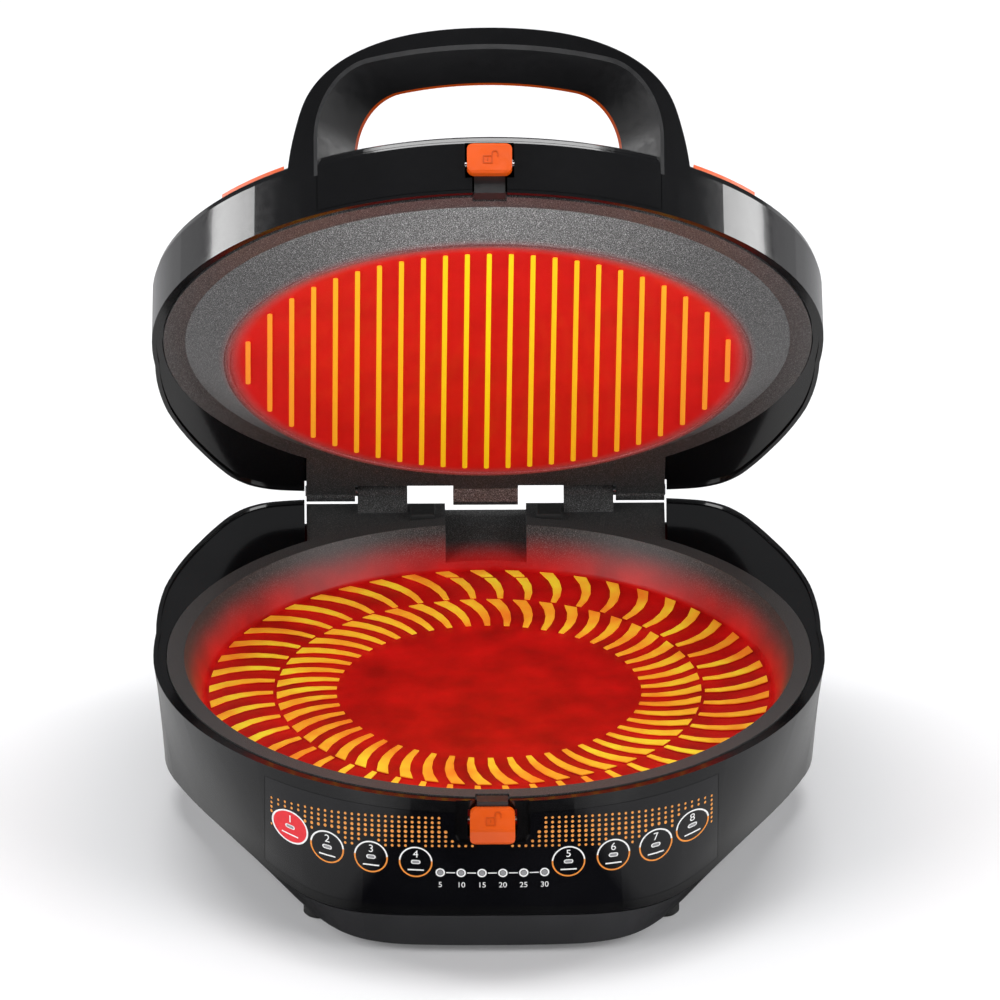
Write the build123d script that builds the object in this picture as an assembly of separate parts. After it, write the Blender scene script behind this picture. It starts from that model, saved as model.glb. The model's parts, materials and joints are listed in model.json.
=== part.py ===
"""Electric baking pan: a round countertop cooker whose lid carries a second heated plate.

Sizes are in millimetres. Everything is first built about the pan's axis with the lid shut,
then the lid is swung open about the hinge and the whole is centred on its footprint.
"""

import os

from build123d import *
from math import atan2, cos, degrees, hypot, pi, radians, sin

# Overall outline, seen from above
RIM_R = 185.0              # round front and sides of both halves
BASE_REAR_Y = 200.0        # rear edge of the base's corners
LID_REAR_Y = 190.0         # rear edge of the lid's corners
BASE_SHOULDER = 207.0      # distance of the base's slanted shoulder from the pan's axis
LID_SHOULDER = 203.0
SHOULDER_TURN = 25.5       # how far the shoulder's face is turned to the rear, degrees
SEAM_FRONT = 181.0         # rounded polygon at the seam between housing and base cover
SEAM_SIDE = 164.0
SEAM_SHOULDER = 181.5
SEAM_REAR = 194.0
FOOT_FRONT = 178.0         # the same at the underside
FOOT_SIDE = 145.5
FOOT_SHOULDER = 166.0
FOOT_REAR = 184.0
FOOT_SIDE_TURN = -23.5
SIDE_TURN = -25.8          # how far the front side facets are turned to the front, degrees
CORNER_SHARPNESS = 10      # higher gives tighter corners on the rounded polygons
OUTLINE_TURNS = (-90, -76, -68, -62, -56, -46, -24, -3, 9, 26, 42, 49, 54, 59, 68)   # right half

# Heights
FOOT_H = 5.0
SEAM_Z = 25.0
RIM_Z = 95.5
LID_GAP = 0.7              # air between the two rims when shut
LID_WALL_H = 36.5
LID_CROWN = 3.0            # rise of the lid's top above its wall
WALL = 2.6                 # moulded shells
RIDGE_W = 2.4              # thin raised ridge round both rims
RIDGE_H = 1.2
DECK_T = 5.4
SEAM_GAP = 0.8             # shadow gap between housing and base cover

# Lower pan
PAN_LIP_R = 177.5
PAN_LIP_Z = 95.0
PAN_LIP_T = 3.5
PAN_MOUTH_R = 168.0
PAN_FLOOR_R = 157.0
PAN_FLOOR_Z = 72.0
PAN_T = 3.4
PAN_CORNER_R = 3.5
PAN_SPLIT_R = 154.6        # the floor and the wall are one casting, drawn as two solids that meet here
PAN_HOLE_R = 178.0         # opening in the housing's deck, above the ledge
PAN_LEDGE_R = 172.2        # inner edge of the ledge the pan's lip sits on
RIB_H = 1.2
SWIRL_COUNT = 50
SWIRL_RINGS = ((119.0, 154.2, 0.0), (84.0, 117.0, 0.5))   # inner and outer radius, share of a step turned
SWIRL_TWIST = 5.5          # degrees from outer to inner end
SWIRL_WIDE = 7.4
SWIRL_NARROW = 3.0
PAN_DECK_HALF_W = 99.5
PAN_DECK_Z = 93.0
PAN_DECK_T = 4.0
SPOUT_HALF_W = 22.5        # notch in the pan's rear wall
SPOUT_REAR_Z = 89.0
SPOUT_SLOPE = 0.3077

# Upper plate, with the lid shut
PLATE_FLANGE_R = 178.5
PLATE_FLANGE_Z = 96.6
PLATE_FLANGE_T = 3.4
PLATE_RIDGE_R = 166.5
PLATE_FACE_R = 145.6
PLATE_FACE_Z = 84.4
PLATE_T = 3.4
PLATE_HOLE_R = 179.2
PLATE_LEDGE_R = 171.5
PLATE_RIB_COUNT = 23
PLATE_RIB_PITCH = 12.0
PLATE_RIB_W = 2.7
PLATE_RIB_MARGIN = 11.0
PLATE_REAR_Y = 184.0
TONGUE_HALF_W = 18.0

# Hinge
HINGE_Y = 199.0
HINGE_Z = 101.0
LID_OPEN = 51.2            # the lid's angle as shown, degrees
PIN_R = 3.0
PIN_CLEAR = 0.06
KNUCKLE_R = 6.0
BAY_HALF_W = 100.6         # rear bay between the corners, for the hinge
BAY_Z = 82.0               # height of the housing's rear wall in the bay
ARM_X = (72.5, 99.5)       # outer flat hinge arm
BARREL_X = (43.5, 71.0)    # round hinge barrel
STOP_X = (28.0, 42.0)      # rubber stop on the pan's deck
STOP_Y = (177.0, 192.0)
STOP_H = 3.3

# Handle: the front view of the arch, as (half width, height) with the lid shut
HANDLE_ARCH = ((110.0, 130.0), (108.5, 140.0), (105.0, 155.0), (99.0, 170.5), (90.0, 180.5),
               (79.0, 187.0), (64.0, 192.0), (49.0, 194.8), (25.0, 196.6))
HANDLE_TOP_Z = 197.0
HANDLE_DEPTH = 33.0
GRIP_FRONT = (121.0, 184.9, 44.0)   # finger opening: half width, top, corner radius at -190
GRIP_BACK = (51.0, 170.4, 26.0)     # and at -110
GRIP_FRONT_Y, GRIP_BACK_Y = -190.0, -110.0
LINER_T = 3.0
TRIM_T = 2.0

# Release levers
FASCIA_HALF_W = 94.0
CAP_HALF_W = 12.3
CAP_CORNER_R = 4.0
CAP_FACE_Y = -183.3
LEVER_HALF_W = 8.5
LEVER_T = 3.0
LEVER_PIN_R = 1.5
CHEEK_X = (13.6, 17.0)
LOWER_PIVOT = (-178.0, 82.0)
UPPER_PIVOT = (-179.0, 116.0)

# Control panel
PANEL_HALF_W = 124.0
PANEL_T = 0.9
PANEL_Z = (30.5, 88.0)

# Hidden parts
HEATER_R = 104.0
HEATER_TUBE_R = 4.0
HEATER_GAP_DEG = 34.0
HEATER_PIN_R, HEATER_PIN_L = 2.4, 14.0
REFLECTOR_T = 0.8
FOOT_R = 9.0
FOOT_AT = ((94.0, -126.0), (94.0, 138.0))
BASE_SCREW_AT = ((62.0, -158.0), (95.0, 170.0))
LID_SCREW_AT = ((85.0, -85.0), (85.0, 85.0))
SCREW_R = 1.8
SCREW_HEAD_R = 3.6
BOSS_R = 5.0
GLAND_X, GLAND_Z = -70.0, 40.0
CORD_BORE_R = 3.75
GLAND_NECK, GLAND_FLANGE_R = 5.95, 8.5
GLAND_CLEAR = 0.1
LEAD_R, LEAD_CLEAR, LEAD_BEND = 1.4, 0.3, 16.0

LID_Z = RIM_Z + LID_GAP
LID_TOP_Z = LID_Z + LID_WALL_H
CENTRE_SHIFT_Y = -10.15    # puts the footprint's middle on the origin


def facet_blend(turn, facets, sharpness=CORNER_SHARPNESS):
    """Radius at one angle of a rounded polygon given as (facet angle, distance) pairs."""
    total = 0.0
    for facet_turn, distance in facets:
        reach = cos(radians(turn - facet_turn))
        if reach > 0:
            total += (reach / distance) ** sharpness
    return total ** (-1 / sharpness)


def rim_radius(turn, rear_y, shoulder):
    """Radius of a rim: round in front, with slanted shoulders and square corners behind."""
    back = sin(radians(turn))
    if back <= 0:
        return RIM_R
    facets = [(0, RIM_R), (180, RIM_R), (90, rear_y)]
    facets += [(SHOULDER_TURN, shoulder), (180 - SHOULDER_TURN, shoulder)]
    step = min(1.0, back / 0.35)
    weight = step * step * (3 - 2 * step)
    return RIM_R + weight * (facet_blend(turn, facets, 18) - RIM_R)


def base_rim(turn):
    return rim_radius(turn, BASE_REAR_Y, BASE_SHOULDER)


def lid_rim(turn):
    return rim_radius(turn, LID_REAR_Y, LID_SHOULDER)


def seam_radius(turn):
    facets = [(-90, SEAM_FRONT), (90, SEAM_REAR)]
    for side in (SIDE_TURN, 180 - SIDE_TURN):
        facets.append((side, SEAM_SIDE))
    for side in (SHOULDER_TURN, 180 - SHOULDER_TURN):
        facets.append((side, SEAM_SHOULDER))
    return facet_blend(turn, facets)


def foot_radius(turn):
    facets = [(-90, FOOT_FRONT), (90, FOOT_REAR)]
    for side in (FOOT_SIDE_TURN, 180 - FOOT_SIDE_TURN):
        facets.append((side, FOOT_SIDE))
    for side in (SHOULDER_TURN, 180 - SHOULDER_TURN):
        facets.append((side, FOOT_SHOULDER))
    return facet_blend(turn, facets)


def outline(radius, z, inset=0.0):
    """Flat closed outline at height z, from a radius given for each angle."""

    def place(turn):
        r = radius(turn) - inset
        return (r * cos(radians(turn)), r * sin(radians(turn)), z)

    turns = [*OUTLINE_TURNS, 90] + [180 - t for t in reversed(OUTLINE_TURNS[1:])] + [270]
    arcs = []
    for low, high in zip(turns, turns[1:]):
        arcs.append(ThreePointArc(place(low), place((low + high) / 2), place(high)))
    return make_face(arcs)


def block(*sections):
    """Solid through outlines, each given as (radius function, height, inset)."""
    return loft([outline(*section) for section in sections], ruled=True)


def box_between(x, y, z):
    """Box from three (low, high) pairs."""
    size = [high - low for low, high in (x, y, z)]
    middle = [(high + low) / 2 for low, high in (x, y, z)]
    return Pos(*middle) * Box(*size)


def disc(r, z_low, z_high, x=0.0, y=0.0):
    return Pos(x, y, (z_low + z_high) / 2) * Cylinder(r, z_high - z_low)


def rod_x(r, x_low, x_high, y, z):
    """Round bar along X."""
    return Pos((x_low + x_high) / 2, y, z) * Rot(0, 90, 0) * Cylinder(r, x_high - x_low)


def turned(points):
    """Solid of revolution about the pan's axis from (radius, height) points."""
    return revolve(Plane.XZ * make_face(Polyline(*points, close=True)), Axis.Z)


def both_sides(shape):
    """A shape and its mirror image across the middle plane."""
    return [shape, mirror(shape, Plane.YZ)]


def fuse(shapes):
    first, *rest = shapes
    return first.fuse(*rest) if rest else first


def side_profile(points, x_low, x_high):
    """Solid of constant section along X from (y, z) points."""
    face = Plane.YZ * make_face(Polyline(*points, close=True))
    return Pos(x_low, 0, 0) * extrude(face, x_high - x_low, dir=(1, 0, 0))


def base_block(inset, z_low, z_high):
    """The housing's outer form between two heights, drawn in by an inset."""
    full = block((seam_radius, SEAM_Z, inset), (base_rim, RIM_Z, inset))
    return full & box_between((-250, 250), (-250, 250), (z_low, z_high))


def cover_block(inset, z_low, z_high):
    full = block((foot_radius, FOOT_H, inset), (seam_radius, SEAM_Z, inset))
    return full & box_between((-250, 250), (-250, 250), (z_low, z_high))


def lid_block(inset, z_low, z_high):
    """The lid's outer form between two heights, with its rounded top edge."""
    full = block(
        (lid_rim, LID_Z, inset),
        (lid_rim, LID_TOP_Z - 6.0, inset + 0.6),
        (lid_rim, LID_TOP_Z - 2.4, inset + 1.8),
        (lid_rim, LID_TOP_Z - 0.6, inset + 4.0),
        (lid_rim, LID_TOP_Z, inset + 6.6),
        (lid_rim, LID_TOP_Z + LID_CROWN, inset + 70.0),
    )
    return full & box_between((-250, 250), (-250, 250), (z_low, z_high))


def wire(start, leave, end, arrive):
    """Round flexible lead, square to what it meets at both ends."""
    path = Bezier(start, Vector(start) + Vector(leave), Vector(end) - Vector(arrive), end)
    section = Plane(origin=path @ 0, z_dir=path % 0)
    return sweep(section * Circle(LEAD_R), path=path)


def coil(r, wire_r, pitch, length, x, y, z):
    """Spring coil along X, starting at x."""
    path = Pos(x, y, z) * Rot(0, 90, 0) * Helix(pitch=pitch, height=length, radius=r)
    start = Plane(origin=path @ 0, z_dir=path % 0)
    return sweep(start * Circle(wire_r), path=path)


def ring_tube(r, tube_r, z, gap):
    """Heater ring: a bent tube with a gap at the rear."""
    start = Pos(r, 0, z) * Rot(90, 0, 0) * Circle(tube_r)
    bent = revolve(start, Axis.Z, 360 - gap)
    return Rot(0, 0, 90 + gap / 2) * bent


# The base's moulded parts


def make_base_cover():
    body = cover_block(0.0, FOOT_H, SEAM_Z - SEAM_GAP) - cover_block(WALL, FOOT_H + WALL, SEAM_Z)
    lip = cover_block(WALL + 0.4, SEAM_Z - 6.0, SEAM_Z) - cover_block(WALL + 2.0, SEAM_Z - 8.0, SEAM_Z)
    step = cover_block(WALL - 0.4, SEAM_Z - 6.0, SEAM_Z - 4.0) - cover_block(WALL + 2.0, SEAM_Z - 8.0, SEAM_Z)
    body = fuse([body, lip, step])
    adds, cuts = [], []
    for x, y in BASE_SCREW_AT:
        adds += both_sides(disc(BOSS_R, FOOT_H + 1.0, SEAM_Z, x, y))
        cuts += both_sides(disc(4.0, FOOT_H - 1, 12.0, x, y))
        cuts += both_sides(disc(2.1, 11.0, SEAM_Z + 1, x, y))
    for x in (-45.0, 45.0):
        for y in (20.0, 80.0):
            adds.append(disc(3.0, FOOT_H + 1.0, 13.0, x, y))
    for x, y in FOOT_AT:
        cuts += both_sides(disc(FOOT_R + 0.2, FOOT_H - 1, FOOT_H + 1.0, x, y))
    for i in range(9):
        x = (i - 4) * 9.0
        slot = Pos(x, -60.0, 0) * extrude(SlotOverall(44.0, 3.2, rotation=90), FOOT_H + 6)
        cuts.append(slot)
    return body.fuse(*adds).cut(*cuts)


def make_lower_shell():
    outer = base_block(0.0, SEAM_Z, RIM_Z)
    inner = base_block(WALL, SEAM_Z - 1, RIM_Z - RIDGE_H - DECK_T)
    body = outer - inner
    body -= base_block(RIDGE_W, RIM_Z - RIDGE_H, RIM_Z + 1)
    ledge_z = PAN_LIP_Z - PAN_LIP_T
    corners = box_between((BAY_HALF_W, BAY_HALF_W + WALL), (120, BASE_REAR_Y), (60, RIM_Z - RIDGE_H))
    body = fuse([body] + [part & base_block(0.6, SEAM_Z, RIM_Z) for part in both_sides(corners)])
    adds = []
    for x, y in BASE_SCREW_AT:
        reach = 24.0 if y > 0 else -24.0
        low, high = sorted((y, y + reach))
        adds += both_sides(disc(BOSS_R, SEAM_Z, 50.0, x, y))
        adds += both_sides(box_between((x - 1.5, x + 1.5), (low, high), (SEAM_Z, 50.0)))
    for x in (-40.0, 40.0):
        for z in (42.0, 64.0):
            adds.append(Pos(x, -176.3, z) * Rot(90, 0, 0) * Cylinder(3.0, 7.4))
    cheek = box_between(CHEEK_X, (-184.0, -173.0), (76.0, RIM_Z - RIDGE_H - 1))
    adds += both_sides(cheek)
    keep = base_block(1.2, SEAM_Z, RIM_Z - RIDGE_H)
    body = fuse([body] + [add & keep for add in adds])
    cuts = [disc(PAN_HOLE_R, ledge_z, RIM_Z + 5), disc(PAN_LEDGE_R, 88.0, RIM_Z + 5)]
    bay = box_between((-BAY_HALF_W, BAY_HALF_W), (140, 230), (BAY_Z, RIM_Z + 5))
    cuts.append(bay)
    cuts.append(turned(((0, 60), (161.2, 60), (161.2, 68), (173.0, 91.4), (0, 91.4))))
    for x, y in BASE_SCREW_AT:
        cuts += both_sides(disc(SCREW_R, SEAM_Z - 1, 42.0, x, y))
    cuts.append(box_between((-CAP_HALF_W - 1.1, CAP_HALF_W + 1.1), (-200, -180.5), (72.4, RIM_Z + 1)))
    cuts.append(box_between((-LEVER_HALF_W - 1, LEVER_HALF_W + 1), (-200, -170), (70, RIM_Z + 1)))
    cuts.append(rod_x(LEVER_PIN_R, -CHEEK_X[1], CHEEK_X[1], *LOWER_PIVOT))
    recess = box_between((-20, 20), (-200, -150), (70.6, RIM_Z + 1))
    recess = fillet(recess.edges().filter_by(Axis.Y).sort_by(Axis.Z)[:2], 6.0)
    cuts.append(recess - base_block(1.2, SEAM_Z, RIM_Z + 2))
    panel = box_between((-PANEL_HALF_W - 0.2, PANEL_HALF_W + 0.2), (-250, -60),
                        (PANEL_Z[0] - 0.2, PANEL_Z[1] + 0.2))
    cuts.append((panel & base_block(-1.0, SEAM_Z, RIM_Z)) - base_block(PANEL_T + 0.05, SEAM_Z, RIM_Z))
    notch = GLAND_NECK + GLAND_CLEAR
    cuts.append(box_between((GLAND_X - notch, GLAND_X + notch), (170, 210), (SEAM_Z - 1, GLAND_Z + notch)))
    return body.cut(*cuts)


def make_control_panel():
    panel = box_between((-PANEL_HALF_W, PANEL_HALF_W), (-250, -60), PANEL_Z)
    panel = (panel & base_block(0.0, SEAM_Z, RIM_Z)) - base_block(PANEL_T, SEAM_Z, RIM_Z)
    notch = box_between((-20.6, 20.6), (-220, -150), (70.0, RIM_Z))
    notch = fillet(notch.edges().filter_by(Axis.Y).sort_by(Axis.Z)[:2], 6.0)
    return panel - notch


# The castings


def make_blade(inner_r, outer_r):
    """One curved, tapering rib of the pan's swirl, seen from above."""
    left, right = [], []
    for i in range(5):
        t = i / 4
        r = inner_r + t * (outer_r - inner_r)
        turn = radians(SWIRL_TWIST * t * t)
        half = (SWIRL_NARROW + t * (SWIRL_WIDE - SWIRL_NARROW)) / 2
        left.append((r * cos(turn) + half * sin(turn), r * sin(turn) - half * cos(turn)))
        right.append((r * cos(turn) - half * sin(turn), r * sin(turn) + half * cos(turn)))
    face = make_face(Polyline(*left, *right[::-1], close=True))
    return Pos(0, 0, PAN_FLOOR_Z - 0.6) * extrude(face, RIB_H + 0.6)


def make_lower_pan():
    under = PAN_FLOOR_Z - PAN_T
    ledge_z = PAN_LIP_Z - PAN_LIP_T
    bowl = turned(((0, under), (159.3, under), (171.2, ledge_z), (PAN_LIP_R, ledge_z),
                   (PAN_LIP_R, PAN_LIP_Z), (PAN_MOUTH_R, PAN_LIP_Z), (PAN_FLOOR_R, PAN_FLOOR_Z),
                   (0, PAN_FLOOR_Z)))
    soft = [e for e in bowl.edges().filter_by(GeomType.CIRCLE)
            if abs(e.center().Z - PAN_FLOOR_Z) < 0.01 and e.radius > 100]
    bowl = fillet(soft, PAN_CORNER_R)
    hollow = turned(((0, PAN_FLOOR_Z - 1), (PAN_FLOOR_R - 0.48, PAN_FLOOR_Z - 1),
                     (PAN_MOUTH_R + 0.48, PAN_LIP_Z + 1), (0, PAN_LIP_Z + 1)))
    deck = box_between((-PAN_DECK_HALF_W, PAN_DECK_HALF_W), (120, HINGE_Y),
                       (PAN_DECK_Z - PAN_DECK_T, PAN_DECK_Z))
    apron = box_between((-PAN_DECK_HALF_W, PAN_DECK_HALF_W), (HINGE_Y - 3, HINGE_Y),
                        (83.0, PAN_DECK_Z - 1))
    trough = side_profile(((150, 70), (HINGE_Y, 85.6), (HINGE_Y, PAN_DECK_Z), (150, PAN_DECK_Z)),
                          -SPOUT_HALF_W - 3.4, SPOUT_HALF_W + 3.4)
    rear = fuse([deck, apron, trough]) - hollow
    adds = [rear]
    for sign in (-1, 1):
        low, high = sorted((sign * BARREL_X[0], sign * BARREL_X[1]))
        adds.append(rod_x(KNUCKLE_R, low, high, HINGE_Y, HINGE_Z))
        adds.append(side_profile(((186, 92), (HINGE_Y, 92), (HINGE_Y, HINGE_Z),
                                  (HINGE_Y - 5.9, HINGE_Z)), low, high))
    for inner_r, outer_r, offset in SWIRL_RINGS:
        blade = make_blade(inner_r, outer_r)
        adds += [Rot(0, 0, 360 * (i + offset) / SWIRL_COUNT) * blade for i in range(SWIRL_COUNT)]
    for i in range(3):
        turn = radians(90 + 120 * i)
        stud = disc(4.0, 54.8, under + 1, 60 * cos(turn), 60 * sin(turn))
        adds.append(stud - disc(SCREW_R, 54.0, 66.0, 60 * cos(turn), 60 * sin(turn)))
    pan = bowl.fuse(*adds)
    spout = side_profile(((144, 72.08), (200, SPOUT_REAR_Z + 0.31), (200, 105), (144, 105)),
                         -SPOUT_HALF_W, SPOUT_HALF_W)
    cuts = [spout]
    cuts += [rod_x(PIN_R, x - 20, x + 20, HINGE_Y, HINGE_Z) for x in (-57.0, 57.0)]
    cuts.append(box_between((-9.3, 9.3), (-190, -173.6), (93.3, 99)))
    pan = pan.cut(*cuts)
    middle = disc(PAN_SPLIT_R, 40, 90)
    return pan - middle, pan & middle


def make_upper_plate():
    top = PLATE_FLANGE_Z + PLATE_FLANGE_T
    dish = turned(((0, PLATE_FACE_Z), (PLATE_FACE_R, PLATE_FACE_Z), (PLATE_RIDGE_R, PLATE_FLANGE_Z),
                   (PLATE_FLANGE_R, PLATE_FLANGE_Z), (PLATE_FLANGE_R, top), (164.5, top),
                   (144.0, PLATE_FACE_Z + PLATE_T), (0, PLATE_FACE_Z + PLATE_T)))
    bead = turned(((PLATE_FACE_R - 3.4, PLATE_FACE_Z - 0.7), (PLATE_FACE_R - 1.2, PLATE_FACE_Z - 0.7),
                   (PLATE_FACE_R - 1.0, PLATE_FACE_Z + 1), (PLATE_FACE_R - 3.6, PLATE_FACE_Z + 1)))
    adds = [bead]
    reach = PLATE_FACE_R - PLATE_RIB_MARGIN
    for i in range(PLATE_RIB_COUNT):
        x = (i - (PLATE_RIB_COUNT - 1) / 2) * PLATE_RIB_PITCH
        half = (reach * reach - x * x) ** 0.5 if abs(x) < reach else 0
        if half > 6:
            rib = extrude(SlotOverall(2 * half, PLATE_RIB_W, rotation=90), RIB_H + 0.6)
            adds.append(Pos(x, 0, PLATE_FACE_Z - RIB_H) * rib)
    rear = box_between((-PAN_DECK_HALF_W, PAN_DECK_HALF_W), (120, PLATE_REAR_Y),
                       (PLATE_FLANGE_Z, top))
    rear -= disc(165.0, PLATE_FLANGE_Z - 1, top + 1)
    adds.append(rear)
    for sign in (-1, 1):
        low, high = sorted((sign * ARM_X[0], sign * ARM_X[1]))
        adds.append(side_profile(((178, PLATE_FLANGE_Z), (HINGE_Y - 4.1, PLATE_FLANGE_Z),
                                  (HINGE_Y, HINGE_Z), (HINGE_Y, 103.4), (PLATE_REAR_Y + 1, 103.4),
                                  (PLATE_REAR_Y + 1, top), (178, top)), low, high))
        adds.append(rod_x(KNUCKLE_R, low, high, HINGE_Y, HINGE_Z))
    adds.append(side_profile(((178, PLATE_FLANGE_Z), (188, PLATE_FLANGE_Z), (193, 91.0), (197, 91.0),
                              (197, top), (178, top)), -TONGUE_HALF_W, TONGUE_HALF_W))
    plate = dish.fuse(*adds)
    cuts = [rod_x(PIN_R + PIN_CLEAR, x - 20, x + 20, HINGE_Y, HINGE_Z) for x in (-86.0, 86.0)]
    cuts.append(box_between((-9.3, 9.3), (-190, -173.5), (90, 98.4)))
    return plate.cut(*cuts)


# The lid's moulded parts


def grip(offset):
    """The finger opening: wide at the front, narrower at the back."""
    faces = []
    for (half, top, corner), y in ((GRIP_FRONT, GRIP_FRONT_Y), (GRIP_BACK, GRIP_BACK_Y)):
        plane = Plane(origin=(0, y, (top + offset + 60) / 2), x_dir=(1, 0, 0), z_dir=(0, -1, 0))
        shape = RectangleRounded(2 * (half + offset), top + offset - 60, corner + offset)
        faces.append(plane * shape)
    return loft([face.face() if hasattr(face, "face") else face for face in faces], ruled=True)


def make_handle_solid():
    right = [*HANDLE_ARCH]
    points = right + [(0.0, HANDLE_TOP_Z)] + [(-x, z) for x, z in reversed(right)]
    top = Spline(*points)
    face = make_face([top, Line(points[-1], (-110.0, 120.0)), Line((-110.0, 120.0), (110.0, 120.0)),
                      Line((110.0, 120.0), points[0])])
    arch = Pos(0, -90, 0) * extrude(Plane.XZ * face, 110, dir=(0, -1, 0))
    band = disc(RIM_R - 0.4, 110, 210) - disc(RIM_R - HANDLE_DEPTH, 100, 220)
    return (arch & band) - lid_block(0.0, LID_Z, LID_TOP_Z + LID_CROWN)


def make_lid_shell():
    top = LID_TOP_Z + LID_CROWN
    ledge_z = PLATE_FLANGE_Z + PLATE_FLANGE_T
    body = lid_block(0.0, LID_Z, top)
    body -= lid_block(WALL, ledge_z + 3.0, top - WALL)
    body -= lid_block(RIDGE_W, LID_Z - 1, LID_Z + RIDGE_H)
    backing = box_between((-98, 98), (-190, -120), (ledge_z + 2, LID_TOP_Z - 4))
    backing = backing & (lid_block(0.6, LID_Z, LID_TOP_Z) - lid_block(5.4, LID_Z, LID_TOP_Z))
    adds = [backing]
    cheek = box_between(CHEEK_X, (-184.0, -173.0), (110.0, 122.0)) & lid_block(1.2, LID_Z, LID_TOP_Z)
    adds += both_sides(cheek)
    for x, y in LID_SCREW_AT:
        adds += both_sides(disc(BOSS_R, 108.0, top - 1, x, y))
    body = body.fuse(*adds)
    cuts = [disc(PLATE_HOLE_R, LID_Z - 1, ledge_z), disc(PLATE_LEDGE_R, LID_Z - 1, ledge_z + 3.1),
            box_between((-BAY_HALF_W, BAY_HALF_W), (140, 230), (LID_Z - 1, ledge_z)),
            box_between((-BAY_HALF_W, BAY_HALF_W), (184.2, 230), (LID_Z - 1, 104.6))]
    for x, y in LID_SCREW_AT:
        cuts += both_sides(disc(SCREW_R, 107.0, 124.0, x, y))
    fascia = box_between((-FASCIA_HALF_W - 0.3, FASCIA_HALF_W + 0.3), (-200, -100),
                         (LID_Z + 1.9, LID_TOP_Z - 4.5))
    cuts.append((fascia & lid_block(-1.0, LID_Z, LID_TOP_Z)) - lid_block(2.1, LID_Z, LID_TOP_Z))
    cuts.append(box_between((-CAP_HALF_W - 1.1, CAP_HALF_W + 1.1), (-200, -176), (105.6, 127.0)))
    cuts.append(box_between((-LEVER_HALF_W - 1, LEVER_HALF_W + 1), (-200, -170), (LID_Z - 1, 127.0)))
    cuts.append(rod_x(LEVER_PIN_R, -CHEEK_X[1], CHEEK_X[1], *UPPER_PIVOT))
    return body.cut(*cuts)


def make_front_fascia():
    plate = box_between((-FASCIA_HALF_W, FASCIA_HALF_W), (-200, -100), (LID_Z + 2.2, LID_TOP_Z - 4.8))
    plate = (plate & lid_block(0.0, LID_Z, LID_TOP_Z)) - lid_block(2.05, LID_Z, LID_TOP_Z)
    window = box_between((-CAP_HALF_W - 1.1, CAP_HALF_W + 1.1), (-200, -150), (105.6, 127.0))
    slot = box_between((-LEVER_HALF_W - 1, LEVER_HALF_W + 1), (-200, -150), (LID_Z, 110.0))
    return plate.cut(window, slot)


def make_side_trims():
    strip = disc(RIM_R - 3.0, 125, LID_TOP_Z + 0.6) - disc(RIM_R - 7.0, 100, 150)
    strip = strip & box_between((112, 146), (-150, -108), (100, 150))
    strip = strip - lid_block(0.0, LID_Z, LID_TOP_Z + LID_CROWN)
    return Compound(children=both_sides(strip))


# Release levers


def make_lower_lever():
    y, z = LOWER_PIVOT
    face = CAP_FACE_Y
    leg = box_between((-LEVER_HALF_W, LEVER_HALF_W), (face, face + LEVER_T), (75.0, 94.8))
    hook = box_between((-LEVER_HALF_W, LEVER_HALF_W), (face, -175.6), (93.5, 94.8))
    eye = rod_x(3.4, -LEVER_HALF_W, LEVER_HALF_W, y, z)
    neck = box_between((-LEVER_HALF_W, LEVER_HALF_W), (face + 1, y), (z - 3.4, z + 3.4))
    return fuse([leg, hook, eye, neck]) - rod_x(LEVER_PIN_R + PIN_CLEAR, -20, 20, y, z)


def make_upper_lever():
    y, z = UPPER_PIVOT
    face = CAP_FACE_Y
    leg = box_between((-LEVER_HALF_W, LEVER_HALF_W), (face, face + LEVER_T), (96.8, 124.0))
    hook = box_between((-LEVER_HALF_W, LEVER_HALF_W), (face, -175.2), (96.8, 98.1))
    eye = rod_x(3.2, -LEVER_HALF_W, LEVER_HALF_W, y, z)
    neck = box_between((-LEVER_HALF_W, LEVER_HALF_W), (face + 1, y), (z - 3.2, z + 3.2))
    return fuse([leg, hook, eye, neck]) - rod_x(LEVER_PIN_R + PIN_CLEAR, -20, 20, y, z)


def make_cap(points):
    low, high = min(z for _, z in points), max(z for _, z in points)
    front = RectangleRounded(2 * CAP_HALF_W, high - low, CAP_CORNER_R)
    front = Pos(0, CAP_FACE_Y, (low + high) / 2) * Rot(90, 0, 0) * front
    cap = side_profile(points, -CAP_HALF_W, CAP_HALF_W) & extrude(front, 20, dir=(0, -1, 0))
    return cap


def make_lower_cap():
    return make_cap(((CAP_FACE_Y, 92), (-186.4, 92), (-194.4, 83.4), (-195, 82), (-195, 75.6),
                     (-193.6, 74), (CAP_FACE_Y, 74)))


def make_upper_cap():
    return make_cap(((CAP_FACE_Y, 125), (-187.4, 125), (-188.4, 123.6), (-188.4, 108.4),
                     (-187.4, 107), (CAP_FACE_Y, 107)))


# Hidden parts


def make_heater(under, z_sign):
    """Ring heater lying against a casting's back, with two terminals."""
    z = under + z_sign * HEATER_TUBE_R
    ring = ring_tube(HEATER_R, HEATER_TUBE_R, z, HEATER_GAP_DEG)
    adds = []
    for sign in (-1, 1):
        turn = radians(90 + sign * (HEATER_GAP_DEG / 2 + 1.5))
        x, y = HEATER_R * cos(turn), HEATER_R * sin(turn)
        low, high = sorted((z, z + z_sign * HEATER_PIN_L))
        adds.append(disc(HEATER_PIN_R, low, high, x, y))
    return ring.fuse(*adds)


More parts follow.
